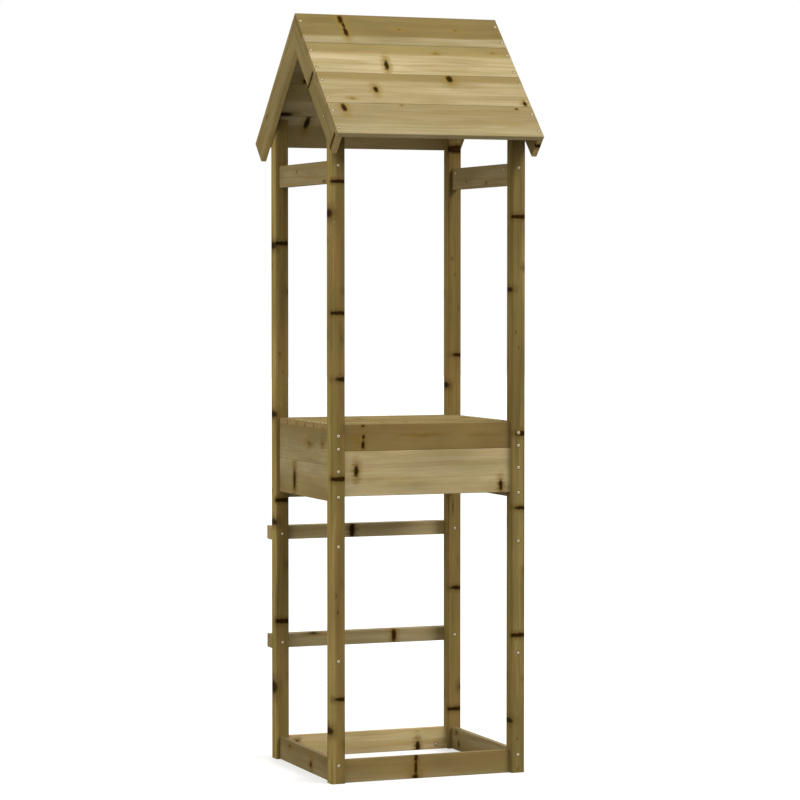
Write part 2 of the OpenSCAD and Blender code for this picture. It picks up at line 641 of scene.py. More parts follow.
    def _shaded(self, colour: Socket) -> Socket:
        """Adds the fine light and dark of the fibres, broad clouds and the timber's own tone.

        Args:
            colour: Colour of the sound wood.

        Returns:
            The shaded colour.
        """
        low, high = self.FIBRE_GREYS
        fine = add_node(self.tree, "ShaderNodeMapRange", None, {
            "Value": self.fibres, "From Min": low, "From Max": high,
            "To Min": 1.0 - self.pine.fibre_shade, "To Max": 1.0 + self.pine.fibre_shade,
        })
        low, high = self.GREYS
        broad = add_node(self.tree, "ShaderNodeMapRange", None, {
            "Value": self._noise(self.pine.clouds, self.local), "From Min": low, "From Max": high,
            "To Min": (1.0 - self.pine.cloud_depth) * self.timber.tone,
            "To Max": (1.0 + self.pine.cloud_depth) * self.timber.tone,
        })
        both = add_node(self.tree, "ShaderNodeMath", MULTIPLY, {0: fine, 1: broad})
        return add_node(self.tree, "ShaderNodeVectorMath", SCALE, {0: colour, "Scale": both})

    def _cut_faces(self, colour: Socket) -> Socket:
        """Gives the sawn ends, whose open pores took more salt, their colour and paints light on the edges.

        Args:
            colour: Colour of the broad faces.

        Returns:
            Colour of all faces.
        """
        along, across = self.timber.run.value[:2]
        normal = add_node(self.tree, "ShaderNodeTexCoord", out="Normal")
        near, full = self.FACE_FADE
        edge_light_and_end = []
        # The factor across paints light on the narrow edges; the share along is the end grain's own colour.
        for direction, low, high in (
            (across, 1.0, self.timber.painted_edge_light),
            (along, 0.0, self.pine.end_share),
        ):
            facing = add_node(self.tree, "ShaderNodeVectorMath", {"operation": "DOT_PRODUCT"}, {
                0: normal, 1: direction,
            }, "Value")
            either_way = add_node(self.tree, "ShaderNodeMath", {"operation": "ABSOLUTE"}, {0: facing})
            edge_light_and_end.append(add_node(self.tree, "ShaderNodeMapRange", None, {
                "Value": either_way, "From Min": near, "From Max": full, "To Min": low, "To Max": high,
            }))
        edge_light_factor, end_share = edge_light_and_end
        edge_lit = add_node(self.tree, "ShaderNodeVectorMath", SCALE, {0: colour, "Scale": edge_light_factor})
        return add_node(self.tree, "ShaderNodeMix", COLOUR_MIX, {
            MIX_FACTOR: end_share, MIX_A: edge_lit, MIX_B: linear(self.pine.end),
        }, MIX_RESULT)

    def _knotted(self, colour: Socket) -> Socket:
        """Lays the knots over the wood, each with a dark rim and a streaky brown surround.

        Args:
            colour: Colour of the wood between them.

        Returns:
            Colour of the whole timber.
        """
        low, high = self.GREYS
        smeared = add_node(self.tree, "ShaderNodeMapRange", None, {
            "Value": self._noise(self.pine.smears, self.local), "From Min": low, "From Max": high,
            "To Min": -self.SMEAR_REACH, "To Max": self.SMEAR_REACH,
        })
        ragged = add_node(self.tree, "ShaderNodeMath", ADD, {0: smeared, 1: self.knots})
        core = linear(self.pine.knot_core)
        rim = linear(self.pine.knot_rim)
        dark = add_node(self.tree, "ShaderNodeValToRGB", {
            "stops": ((0.0, core), (self.CORE_END, core), (self.RIM_PLACE, rim), (1.0, core)),
        }, {"Fac": self.knots})
        for distance, (near, far), strongest, tint in (
            (ragged, self.BROWN_FADE, self.BROWN_SHARE, linear(self.pine.heartwood)),
            (self.knots, self.DARK_FADE, self.DARK_SHARE, dark),
        ):
            share = add_node(self.tree, "ShaderNodeMapRange", SMOOTH, {
                "Value": distance, "From Min": near, "From Max": far, "To Min": strongest, "To Max": 0.0,
            })
            colour = add_node(self.tree, "ShaderNodeMix", COLOUR_MIX, {
                MIX_FACTOR: share, MIX_A: colour, MIX_B: tint,
            }, MIX_RESULT)
        return colour

    def _relief(self) -> Socket:
        """Raises the hard late wood and the knots a little over the soft early wood.

        Returns:
            Normal of the raised surface.
        """
        near, far = self.RISE_FADE
        knot_rise = add_node(self.tree, "ShaderNodeMapRange", None, {
            "Value": self.knots, "From Min": near, "From Max": far, "To Min": self.KNOT_RISE, "To Max": 0.0,
        })
        height = knot_rise
        for pattern, rise in ((self.fibres, self.FIBRE_RISE), (self.late, self.LATE_RISE)):
            height = add_node(self.tree, "ShaderNodeMath", MULTIPLY_ADD, {0: pattern, 1: rise, 2: height})
        return add_node(self.tree, "ShaderNodeBump", None, {
            "Height": height, "Distance": self.pine.relief * MM, "Strength": self.BUMP_STRENGTH,
        })


@dataclass(frozen=True)
class ZincPlatedSteel:
    """Cold-headed screw steel with a pale zinc plating.

    The plating gives the eye a small, pale, slightly warm point with a soft shine on the dark wood.

    Attributes:
        name: Name of the material.
        colour: Colour of the plating.
        metallic: How much of its light it throws back as a metal does.
        cloud: Size of its lighter and duller spots, as the bath leaves them, in millimetres.
        greys: Greys of the noise between which the shade changes.
        shade: Least and greatest factor on the colour.
        roughness: Least and greatest roughness.
    """

    name: str = "zinc_plated_steel"
    colour: str = "#C0AE84"
    metallic: float = 0.25
    cloud: float = 2.0
    greys: tuple[float, float] = (0.3, 0.7)
    shade: tuple[float, float] = (0.9, 1.05)
    roughness: tuple[float, float] = (0.4, 0.62)

    def material(self) -> bpy.types.Material:
        """Makes the plating.

        Returns:
            The material.
        """
        material = bpy.data.materials.new(self.name)
        tree = blank_tree(material)
        noise = spots(tree, self.cloud)
        rough = add_node(tree, "ShaderNodeMapRange", None, {
            "Value": noise, "To Min": self.roughness[0], "To Max": self.roughness[1],
        })
        shade = add_node(tree, "ShaderNodeMapRange", None, {
            "Value": noise, "From Min": self.greys[0], "From Max": self.greys[1],
            "To Min": self.shade[0], "To Max": self.shade[1],
        })
        colour = add_node(tree, "ShaderNodeVectorMath", SCALE, {
            0: linear(self.colour)[:3], "Scale": shade,
        })
        shader = add_node(tree, "ShaderNodeBsdfPrincipled", None, {
            "Base Color": colour, "Roughness": rough, "Metallic": self.metallic,
        })
        add_node(tree, "ShaderNodeOutputMaterial", None, {"Surface": shader})
        return material


@dataclass(frozen=True)
class PressedFibre:
    """Pine crushed and wetted round a driven screw.

    It gives the eye a thin dark ring that sets the pale head off from the board.

    Attributes:
        name: Name of the material.
        colour: Colour of the crushed fibres.
        deep_colour: Colour in the gaps between them.
        roughness: Roughness, high because the fibres stand up.
        fibre: Width of a crushed bundle, in millimetres.
    """

    name: str = "pressed_pine_fibre"
    colour: str = "#4F3E1C"
    deep_colour: str = "#33260E"
    roughness: float = 0.8
    fibre: float = 1.2

    def material(self) -> bpy.types.Material:
        """Makes the crushed wood.

        Returns:
            The material.
        """
        material = bpy.data.materials.new(self.name)
        tree = blank_tree(material)
        colour = add_node(tree, "ShaderNodeMix", COLOUR_MIX, {
            MIX_FACTOR: spots(tree, self.fibre), MIX_A: linear(self.deep_colour), MIX_B: linear(self.colour),
        }, MIX_RESULT)
        shader = add_node(tree, "ShaderNodeBsdfPrincipled", None, {
            "Base Color": colour, "Roughness": self.roughness,
        })
        add_node(tree, "ShaderNodeOutputMaterial", None, {"Surface": shader})
        return material


@dataclass(frozen=True)
class ScrewPlace:
    """Place of one screw on a face, and the way that the face looks."""

    point: Vector
    outward: Vector


@dataclass(frozen=True)
class HeadSizes:
    """Sizes of a screw head and of the fibres pressed round it, in millimetres.

    Attributes:
        head_diameter: Diameter of the head.
        head_rise: Height of its dome over the wood.
        recess_span: Length of an arm of the cross recess, from tip to tip.
        recess_width: Width of an arm.
        ring_diameter: Diameter of the ring of pressed fibres.
        ring_rise: Height of the ring over the wood.
    """

    head_diameter: float
    head_rise: float
    recess_span: float
    recess_width: float
    ring_diameter: float
    ring_rise: float = 0.16


class ScrewHead(Enum):
    """Kinds of screw by the sizes of their heads."""

    FRAME = HeadSizes(8.2, 1.6, 4.6, 1.4, 11.4)
    # Round ones, which show as full discs where the photograph sees them slantwise
    DOMED = HeadSizes(9.0, 3.0, 4.8, 1.4, 12.0)
    FLUSH = HeadSizes(8.2, 0.25, 4.6, 1.1, 11.4)
    ROOF = HeadSizes(7.6, 1.2, 4.2, 1.1, 10.0, 0.14)


@dataclass
class ScrewDriver:
    """Sets screw heads with a cross recess by Geometry Nodes.

    Attributes:
        segments: Sides of a head's outline.
        rings: Rings of faces from pole to pole.
        recess_depth: Depth of the recess below the top of the head, as a share of the head's rise.
        steel: Finish of the heads.
        fibre: Finish of the rings of fibres.
        tree: Geometry Nodes tree that makes the screws.
    """

    segments: int = 24
    rings: int = 8
    recess_depth: float = 0.7
    steel: bpy.types.Material = field(init=False)
    fibre: bpy.types.Material = field(init=False)
    tree: Tree = field(init=False)

    def __post_init__(self) -> None:
        """Makes the two materials and the tree that all sets of screws share."""
        self.steel = ZincPlatedSteel().material()
        self.fibre = PressedFibre().material()
        self.tree = bpy.data.node_groups.new("screw_heads", "GeometryNodeTree")
        self._fill_tree()

    def _fill_tree(self) -> None:
        """Builds the tree: a head and a ring of fibres on each point, realized and with its material."""
        sockets = self.tree.interface
        sockets.new_socket("Geometry", in_out="OUTPUT", socket_type="NodeSocketGeometry")
        inputs = [("Geometry", "Geometry")]
        inputs += [(size.name, "Float") for size in fields(HeadSizes)]
        inputs += [("spin_seed", "Int"), ("head_material", "Material"), ("ring_material", "Material")]
        for name, kind in inputs:
            sockets.new_socket(name, in_out="INPUT", socket_type=f"NodeSocket{kind}")
        given = self.tree.nodes.new("NodeGroupInput").outputs
        turned = self._turned(given["spin_seed"])
        ring = self._lens(given["ring_diameter"], given["ring_rise"])
        joined = self.tree.nodes.new("GeometryNodeJoinGeometry")
        for shape, material in ((self._head(given), "head_material"), (ring, "ring_material")):
            placed = add_node(self.tree, "GeometryNodeInstanceOnPoints", None, {
                "Points": given["Geometry"], "Instance": shape, "Rotation": turned,
            })
            real = add_node(self.tree, "GeometryNodeRealizeInstances", None, {"Geometry": placed})
            dressed = add_node(self.tree, "GeometryNodeSetMaterial", None, {
                "Geometry": real, "Material": given[material],
            })
            self.tree.links.new(dressed, joined.inputs[0])
        add_node(self.tree, "NodeGroupOutput", None, {"Geometry": joined.outputs[0]})

    def _turned(self, seed: Socket) -> Socket:
        """Turns each screw to its face and spins it at random.

        Args:
            seed: Socket with the seed of the spins.

        Returns:
            The rotation.
        """
        outward = add_node(self.tree, "GeometryNodeInputNamedAttribute", {"data_type": "FLOAT_VECTOR"}, {
            "Name": "outward",
        })
        facing = add_node(self.tree, "FunctionNodeAlignRotationToVector", {"axis": "Z"}, {"Vector": outward})
        spin = add_node(self.tree, "FunctionNodeRandomValue", {"data_type": "FLOAT"}, {
            2: 0.0, 3: math.tau, "Seed": seed,
        }, 1)
        angles = add_node(self.tree, "ShaderNodeCombineXYZ", None, {"Z": spin})
        turn = add_node(self.tree, "FunctionNodeEulerToRotation", None, {0: angles})
        return add_node(self.tree, "FunctionNodeRotateRotation", {"rotation_space": "LOCAL"}, {
            "Rotation": facing, "Rotate By": turn,
        })

    def _head(self, given: bpy.types.NodeOutputs) -> Socket:
        """Cuts the two arms of the cross recess into the head's dome.

        Args:
            given: Inputs of the tree.

        Returns:
            The closed shape.
        """
        rise = given["head_rise"]
        cut = self._lens(given["head_diameter"], rise)
        deep = add_node(self.tree, "ShaderNodeMath", MULTIPLY, {0: rise, 1: 2 * self.recess_depth})
        lift = add_node(self.tree, "ShaderNodeCombineXYZ", None, {"Z": rise})
        for along_x, along_y in (("recess_span", "recess_width"), ("recess_width", "recess_span")):
            extent = add_node(self.tree, "ShaderNodeCombineXYZ", None, {
                "X": given[along_x], "Y": given[along_y], "Z": deep,
            })
            arm = add_node(self.tree, "GeometryNodeMeshCube", None, {"Size": extent})
            raised = add_node(self.tree, "GeometryNodeTransform", None, {
                "Geometry": arm, "Translation": lift,
            })
            cut = add_node(self.tree, "GeometryNodeMeshBoolean", {"operation": "DIFFERENCE"}, {
                "Mesh 1": cut, "Mesh 2": raised,
            })
        return cut

    def _lens(self, diameter: Socket, rise: Socket) -> Socket:
        """Adds a ball pressed flat to the given diameter and rise, half of it sunk in the wood.

        Args:
            diameter: Socket with the diameter.
            rise: Socket with the height of the dome.

        Returns:
            The closed shape.
        """
        ball = add_node(self.tree, "GeometryNodeMeshUVSphere", None, {
            "Segments": self.segments, "Rings": self.rings, "Radius": 1.0,
        })
        radius = add_node(self.tree, "ShaderNodeMath", MULTIPLY, {0: diameter, 1: 0.5})
        extent = add_node(self.tree, "ShaderNodeCombineXYZ", None, {"X": radius, "Y": radius, "Z": rise})
        return add_node(self.tree, "GeometryNodeTransform", None, {"Geometry": ball, "Scale": extent})

    def drive(self, name: str, places: list[ScrewPlace], head: ScrewHead, seed: int) -> None:
        """Drives one set of screws and makes it a plain mesh that rides on the tower.

        Args:
            name: Name of the piece.
            places: Where the screws go.
            head: Kind of screw.
            seed: Seed of the turns of their recesses.
        """
        points = bpy.data.meshes.new(f"{name}_points")
        points.from_pydata([place.point for place in places], [], [])
        outward = points.attributes.new("outward", "FLOAT_VECTOR", "POINT")
        for item, place in zip(outward.data, places):
            item.vector = place.outward
        carrier = bpy.data.objects.new(f"{name}_points", points)
        bpy.context.scene.collection.objects.link(carrier)
        modifier = carrier.modifiers.new("screws", "NODES")
        modifier.node_group = self.tree
        values = {size: length * MM for size, length in asdict(head.value).items()}
        values.update(spin_seed=seed, head_material=self.steel, ring_material=self.fibre)
        for item in self.tree.interface.items_tree:
            if item.in_out == "INPUT" and item.name in values:
                modifier[item.identifier] = values[item.name]
        depsgraph = bpy.context.evaluated_depsgraph_get()
        mesh = bpy.data.meshes.new_from_object(carrier.evaluated_get(depsgraph))
        carrier.modifiers.remove(modifier)
        bpy.data.objects.remove(carrier)
        mesh.name = name
        piece = bpy.data.objects.new(name, mesh)
        bpy.context.scene.collection.objects.link(piece)
        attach(piece, ROOT)
        LOG.info("%s: %d screws, %d faces", name, len(places), len(mesh.polygons))


POST_PINE = TreatedPine(
    name="pressure_treated_pine_post",
    early="#9A8853",
    late="#6B5731",
    heartwood="#644F28",
    olive="#766A3A",
    russet="#896A3B",
    end="#5F4A24",
    streaks=Blots(300.0, 9.0, 2.5),
    streak_depth=0.58,
    line_depth=0.3,
)
BOARD_PINE = TreatedPine(
    name="pressure_treated_pine_board",
    early="#AE9D77",
    late="#8A7448",
    heartwood="#745A26",
    olive="#8C7F48",
    russet="#977845",
    end="#846E44",
    streak_depth=0.42,
    line_depth=0.22,
)
# The platform's panels are of slow-grown pine with hardly a line in it
PANEL_PINE = replace(
    BOARD_PINE,
    name="pressure_treated_pine_panel",
    line_depth=0.13,
    streak_depth=0.32,
    swirl=5.0,
    relief=0.2,
)
# A floor is seen almost edge on, where even a low gloss would lie on it as a white veil
FLOOR_PINE = replace(
    BOARD_PINE, name="pressure_treated_pine_floor_board", early="#AD9A6B", end="#9A7F56", gloss=0.0,
)
# The rafters' pale end grain is painted light on the end faces of their tails
RAFTER_PINE = replace(
    BOARD_PINE,
    name="pressure_treated_pine_rafter",
    early="#AE9A69",
    late="#8A723F",
    end="#DABD80",
    line_depth=0.12,
    streak_depth=0.28,
)
ROOF_PINE = TreatedPine(
    name="pressure_treated_pine_roof_board",
    early="#CDBC93",
    late="#A28B58",
    heartwood="#8A7136",
    olive="#A39762",
    russet="#AE925A",
    end="#7A6538",
    streak_depth=0.42,
    line_depth=0.28,
    cloud_depth=0.07,
)


@dataclass
class SubAssembly:
    """Group of timbers that are dressed alike and screwed together.

    Attributes:
        title: Name of the group.
        finish: Finish of its timbers.
        screw_head: Kind of its screws.
        screw_seed: Seed of the turns of their recesses.
    """

    title: str = "timbers"
    finish: TreatedPine = BOARD_PINE
    screw_head: ScrewHead = ScrewHead.FRAME
    screw_seed: int = 1

    def timbers(self) -> list[Timber]:
        """Lists the timbers of the group."""
        return []

    def finish_of(self, timber: Timber) -> TreatedPine:
        """Gives the finish of one timber."""
        return self.finish

    def screws(self) -> list[ScrewPlace]:
        """Lists the places of the group's screws."""
        return []

    def build(self, driver: ScrewDriver) -> None:
        """Dresses the timbers and drives the screws.

        Args:
            driver: What sets the screw heads.
        """
        for timber in self.timbers():
            material = self.finish_of(timber).material(timber)
            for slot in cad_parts[timber.node].material_slots:
                slot.link = "OBJECT"
                slot.material = material
            LOG.info("%s: %d knots", timber.node, len(timber.knots))
        places = self.screws()
        if places:
            driver.drive(f"screws_{self.title}", places, self.screw_head, self.screw_seed)


@dataclass
class Posts(SubAssembly):
    """The four square posts, with the screws that hold side boards and rungs.

    Attributes:
        joint_heights: Heights of the screws into the ends of the side boards, in millimetres as all
            lengths here.
        painted_edge_light: Factor on the brightness of the side faces, which paints light on them.
        lean: Tilts of the tree's axis, in degrees.
        whole_band: Middle and half length of a branch that crosses the whole front face.
        band_depth: Half of a branch's depth from the front face.
        past_corner: How far a branch that starts in the front face runs past its right corner.
        left_width: Half of a left knot's width.
        left_depth: Half of its extent in the depth.
        pin_width: Half of a pin knot's width.
        pin_depth: Half of its depth from the front face.
        pin_paleness: How far it stays from black.
        stain_paleness: How far a brown stain stays from black.
        far_first: Least and greatest height of the lowest knot on a hidden face.
        far_step: Least and greatest distance between two of them.
        far_last: Height over which there is none.
        far_half_height: Least and greatest half of their heights.
        far_half_width: Least and greatest half of their widths.
        far_depth: Half of their depth.
        far_offset: Greatest distance from the middle of the face.
    """

    title: str = "posts"
    finish: TreatedPine = POST_PINE
    screw_seed: int = 11
    joint_heights: tuple[float, ...] = (46.0, 719.0, 783.0, 839.0, 872.0, 1546.0)
    painted_edge_light: float = 1.15
    lean: tuple[float, float] = (0.5, 0.4)
    whole_band: tuple[float, float] = (12.0, 50.0)
    band_depth: float = 8.0
    past_corner: float = 9.0
    left_width: float = 6.5
    left_depth: float = 20.0
    pin_width: float = 1.6
    pin_depth: float = 4.0
    pin_paleness: float = 0.55
    stain_paleness: float = 0.9
    far_first: tuple[float, float] = (60.0, 260.0)
    far_step: tuple[float, float] = (220.0, 460.0)
    far_last: float = 1600.0
    far_half_height: tuple[float, float] = (4.0, 9.0)
    far_half_width: tuple[float, float] = (8.0, 22.0)
    far_depth: float = 6.0
    far_offset: float = 8.0

    @property
    def half_side(self) -> float:
        """Half of a post's side, in millimetres."""
        low, high = box_of("post_front_left")
        return (high.x - low.x) / 2 / MM

    def _band(self, height: float, half_height: float = 5.0, start: float | None = None) -> Knot:
        """Makes a branch that runs along the front face, seen as a dark band across it.

        Args:
            height: Height over the ground, in millimetres.
            half_height: Half of its thickness.
            start: Place across the face where it starts, or None where it crosses the whole face.

        Returns:
            The knot.
        """
        middle, reach = self.whole_band
        if start is not None:
            end = self.half_side + self.past_corner
            middle = (start + end) / 2
            reach = end - middle
        return Knot(height, middle, half_height, reach, -self.half_side, self.band_depth)

    def _left_knot(self, height: float, half_height: float) -> Knot:
        """Makes a knot on the left face."""
        return Knot(height, -self.half_side, half_height, self.left_width, half_through=self.left_depth)

    def _pin_knot(self, height: float, across: float, half_height: float = 3.0) -> Knot:
        """Makes a small, pale pin knot on the front face."""
        return Knot(
            height, across, half_height, self.pin_width, -self.half_side, self.pin_depth,
            paleness=self.pin_paleness,
        )

    def _stain(
        self, height: float, across: float, half_height: float, half_width: float, depth: float = 6.0
    ) -> Knot:
        """Makes a brown stain on the front face."""
        return Knot(
            height, across, half_height, half_width, -self.half_side, depth, paleness=self.stain_paleness,
        )

    def _far_knots(self, node: str) -> tuple[Knot, ...]:
        """Scatters knots over the back and the right face.

        Args:
            node: Name of the post, which fixes where they fall.

        Returns:
            The knots.
        """
        draw = random.Random(f"far {node}")
        knots = []
        for on_right_face in (False, True):
            height = draw.uniform(*self.far_first)
            while height < self.far_last:
                tall = draw.uniform(*self.far_half_height)
                wide = draw.uniform(*self.far_half_width)
                offset = draw.uniform(-self.far_offset, self.far_offset)
                if on_right_face:
                    knots.append(Knot(height, self.half_side, tall, self.far_depth, offset, wide))
                else:
                    knots.append(Knot(height, offset, tall, wide, self.half_side, self.far_depth))
                height += draw.uniform(*self.far_step)
        return tuple(knots)

    def timbers(self) -> list[Timber]:
        """Lists the posts, with their knots where the photograph shows them.

        Returns:
            The four posts.
        """
        band = self._band
        left = self._left_knot
        pin = self._pin_knot
        stain = self._stain
        corner = self.half_side
        posts = (
            ("post_front_left", 0.97, (-30.0, 26.0), Heart(-9.0, 7.0, True, 0.7), (
                band(1506.0, 4.0), band(1179.0, 4.5), band(1014.0, 5.5, -6.0), band(765.0, 5.5),
                band(213.0, 4.5, -10.0), pin(474.0, -6.0, 6.0), pin(431.0, -2.0, 8.0),
                left(1427.0, 10.0), left(133.0, 9.0), stain(1115.0, 7.0, 24.0, 5.0, 8.0),
            )),
            ("post_front_right", 0.81, (28.0, 30.0), Heart(-9.0, 7.0, False, 0.35), (
                band(1422.0, 5.0), band(870.0, 6.0, -8.0), band(680.0, 4.5, -12.0), band(354.0, 5.0),
                pin(1128.0, -7.0), pin(1089.0, -1.0), pin(88.0, -2.0), pin(10.0, 0.0),
                left(1237.0, 6.0), left(134.0, 6.5),
            )),
            ("post_back_left", 1.03, (26.0, -34.0), Heart(-12.0, 5.0, True, 0.65), (
                # band(684.0) is partly a knot and partly painted shadow under the left panel
                band(1357.0, 5.0), band(684.0, 5.0), band(365.0, 6.0), pin(1067.0, -7.0), pin(1020.0, 2.0),
                left(1352.0, 9.0), left(909.0, 8.0), left(626.0, 8.0), left(190.0, 16.0),
            )),
            ("post_back_right", 1.06, (-34.0, 24.0), Heart(-30.0, 5.0, True, 0.6), (
                band(1611.0, 11.0), band(1061.0, 4.5, -6.0), band(435.0, 5.0, -12.0), band(108.0, 5.0),
                pin(1318.0, -8.0), pin(1276.0, 0.0), pin(654.0, -5.0, 12.0), left(980.0, 7.0),
                stain(500.0, corner, 30.0, 1.2), stain(115.0, corner, 18.0, 1.2),
            )),
        )
        return [
            Timber(
                node, Run.UPRIGHT, knots + self._far_knots(node), heart, tone, pith, self.lean,
                self.painted_edge_light,
            )
            for node, tone, pith, heart, knots in posts
        ]

    def screws(self) -> list[ScrewPlace]:
        """Places screws in the outer faces of the posts, and through the back posts into the rungs.

        Returns:
            The places.
        """
        places = []
        for node in ("post_front_left", "post_front_right", "post_back_left", "post_back_right"):
            low, high = box_of(node)
            middle = (low.x + high.x) / 2
            at_front = low.y < 0.0
            outer = low.y if at_front else high.y
            outward = -Y_AXIS if at_front else Y_AXIS
            for height in self.joint_heights:
                places.append(ScrewPlace(Vector((middle, outer, height * MM)), outward))
            for rung in ("rung_lower", "rung_upper"):
                bottom, top = box_of(rung)
                places.append(ScrewPlace(Vector((middle, low.y, (bottom.z + top.z) / 2)), -Y_AXIS))
        return places


def inner_face_screws(node: str, height: float, setback: float) -> list[ScrewPlace]:
    """Places a screw near each end of the inner face of a board on the front or the back.

    Args:
        node: Name of the board.
        height: Height of the screws, in metres.
        setback: Their distance from the board's ends, in millimetres.

    Returns:
        The two places.
    """
    low, high = box_of(node)
    inner, outward = (high.y, Y_AXIS) if low.y < 0.0 else (low.y, -Y_AXIS)
    reach = high.x - setback * MM
    return [ScrewPlace(Vector((x, inner, height)), outward) for x in (-reach, reach)]


@dataclass
class GroundFrame(SubAssembly):
    """The four boards on the ground between the posts.

    Attributes:
        end_setback: Distance of a screw from the end of the front and back boards, in millimetres.
        screw_height: Height of those screws.
    """

    title: str = "ground_frame"
    screw_seed: int = 12
    end_setback: float = 31.0
    screw_height: float = 13.0

    def timbers(self) -> list[Timber]:
        """Lists the ground boards.

        Returns:
            The front, back, left and right board.
        """
        return [
            Timber("base_board_front", Run.CROSSWISE, (
                Knot(-32.0, 24.0, 5.0, 9.0), Knot(-32.0, -2.0, 4.0, 20.0), Knot(-34.0, -31.0, 9.0, 14.0),
            ), Heart(-20.0, 30.0, True, 0.7), tone=0.83),
            # Partly painted light: the back board's high tone lifts the shade it lies in
            Timber("base_board_back", Run.CROSSWISE, (
                Knot(142.0, -20.0, 6.0, 14.0), Knot(-201.0, 14.0, 6.0, 4.0, paleness=0.3),
            ), Heart(-6.0, 16.0, False, 0.15), tone=1.36),
            Timber("base_board_left", Run.FRONT_TO_BACK, (
                Knot(-45.0, -7.0, 10.0, 9.0, paleness=0.3), Knot(120.0, 16.0, 12.0, 5.0, paleness=0.6),
            ), Heart(0.0, 30.0, True, 0.5), tone=0.67),
            Timber("base_board_right", Run.FRONT_TO_BACK, (
                Knot(166.0, 18.0, 9.0, 7.0, paleness=0.6), Knot(150.0, -12.0, 5.0, 9.0, paleness=0.2),
                Knot(-60.0, 2.0, 7.0, 11.0, 12.0, 7.0),
            ), Heart(0.0, 14.0, False, 0.4), tone=0.74),
        ]

    def screws(self) -> list[ScrewPlace]:
        """Places the slanted screws in the inner faces of the front and back boards.

        Returns:
            The places.
        """
        places = []
        for node in ("base_board_front", "base_board_back"):
            places += inner_face_screws(node, self.screw_height * MM, self.end_setback)
        return places


@dataclass
class Platform(SubAssembly):
    """The boarded platform: its panels on four sides and its floor.

    Attributes:
        floor_finish: Finish of the floor boards.
        floor_boards: Number of floor boards.
        floor_knots: Knots of a floor board.
        floor_tones: Least and greatest tone of a floor board.
        floor_pith: Greatest distance of the tree's middle across a floor board, and its depth.
        floor_screw_spread: Half of the distance between the two screws at a floor board's end.
        long_panel_knots: Knots of a board on the back.
        short_panel_knots: Knots of a board on the right.
        end_setback: Distance of a panel's inner screws from its ends, in millimetres.
        screw_height_share: Height of those screws, as a share of the board's height.
    """

    title: str = "platform"
    finish: TreatedPine = PANEL_PINE
    screw_head: ScrewHead = ScrewHead.FLUSH
    screw_seed: int = 13
    floor_finish: TreatedPine = FLOOR_PINE
    floor_boards: int = 6
    floor_knots: LooseKnots = LooseKnots(length=500.0, width=55.0, spacing=260.0, paleness=0.65)
    floor_tones: tuple[float, float] = (0.7, 0.82)
    floor_pith: tuple[float, float] = (20.0, -50.0)
    floor_screw_spread: float = 16.0
    long_panel_knots: LooseKnots = LooseKnots(length=450.0, width=70.0, spacing=190.0)
    short_panel_knots: LooseKnots = LooseKnots(length=390.0, width=70.0, spacing=190.0)
    end_setback: float = 24.0
    screw_height_share: float = 0.4

    def finish_of(self, timber: Timber) -> TreatedPine:
        """Gives the floor boards a finish of their own."""
        return self.floor_finish if timber.run is Run.FLAT else self.finish

    def timbers(self) -> list[Timber]:
        """Lists the panels' boards and the floor boards.

        Returns:
            The boards of the front, the left, the back, the right and the floor.
        """
        boards = [
            Timber("panel_front_upper", Run.CROSSWISE, (
                Knot(-175.0, 30.0, 4.5, 4.0, paleness=0.2), Knot(-173.0, 2.0, 3.5, 7.0, paleness=0.1),
                Knot(-175.0, -18.0, 4.5, 10.0), Knot(-186.0, -6.0, 17.0, 18.0, paleness=1.25),
                Knot(-8.0, 4.0, 40.0, 3.5, paleness=0.95), Knot(150.0, 2.0, 24.0, 4.5, paleness=1.1),
            ), Heart(-60.0, 8.0, True, 0.75), tone=0.84, pith=(5.0, -44.0), lean=(0.5, 4.0)),
            Timber("panel_front_lower", Run.CROSSWISE, (
                Knot(-193.0, 6.0, 5.5, 13.0), Knot(200.0, -38.0, 5.0, 13.0),
            ), tone=1.04, pith=(-30.0, -48.0), lean=(0.8, -3.0)),
            Timber("panel_left_upper", Run.FRONT_TO_BACK, (
                Knot(-34.0, 2.0, 18.0, 9.0, paleness=0.85), Knot(-133.0, 7.0, 10.0, 9.0, paleness=0.8),
            ), Heart(10.0, 30.0, True, 0.6), tone=0.84),
            Timber("panel_left_lower", Run.FRONT_TO_BACK, (
                Knot(79.0, -6.0, 9.0, 25.0),
            ), Heart(0.0, 30.0, False, 0.5), tone=0.91),
        ]
        for node, run, knots, tone in (
            ("panel_back_upper", Run.CROSSWISE, self.long_panel_knots, 0.95),
            ("panel_back_middle", Run.CROSSWISE, self.long_panel_knots, 0.9),
            ("panel_back_lower", Run.CROSSWISE, self.long_panel_knots, 0.98),
            ("panel_right_upper", Run.FRONT_TO_BACK, self.short_panel_knots, 0.86),
            ("panel_right_lower", Run.FRONT_TO_BACK, self.short_panel_knots, 0.9),
        ):
            boards.append(Timber(node, run, knots.on(node), tone=tone))
        aside, depth = self.floor_pith
        for number in range(1, self.floor_boards + 1):
            node = f"floor_board_{number}"
            draw = random.Random(f"floor {number}")
            tone = draw.uniform(*self.floor_tones)
            pith = (draw.uniform(-aside, aside), depth)
            boards.append(Timber(node, Run.FLAT, self.floor_knots.on(node), tone=tone, pith=pith))
        return boards

    def screws(self) -> list[ScrewPlace]:
        """Places two screws in each end of each floor board, and the panels' inner screws.

        Returns:
            The places.
        """
        places = []
        post_low, post_high = box_of("post_front_right")
        over_panel = (post_low.x + post_high.x) / 2
        for number in range(1, self.floor_boards + 1):
            low, high = box_of(f"floor_board_{number}")
            middle = (low.y + high.y) / 2
            for x in (-over_panel, over_panel):
                for aside in (-self.floor_screw_spread, self.floor_screw_spread):
                    places.append(ScrewPlace(Vector((x, middle + aside * MM, high.z)), Z_AXIS))
        for name in ("front_upper", "front_lower", "back_upper", "back_middle", "back_lower"):
            low, high = box_of(f"panel_{name}")
            height = low.z + (high.z - low.z) * self.screw_height_share
            places += inner_face_screws(f"panel_{name}", height, self.end_setback)
        return places


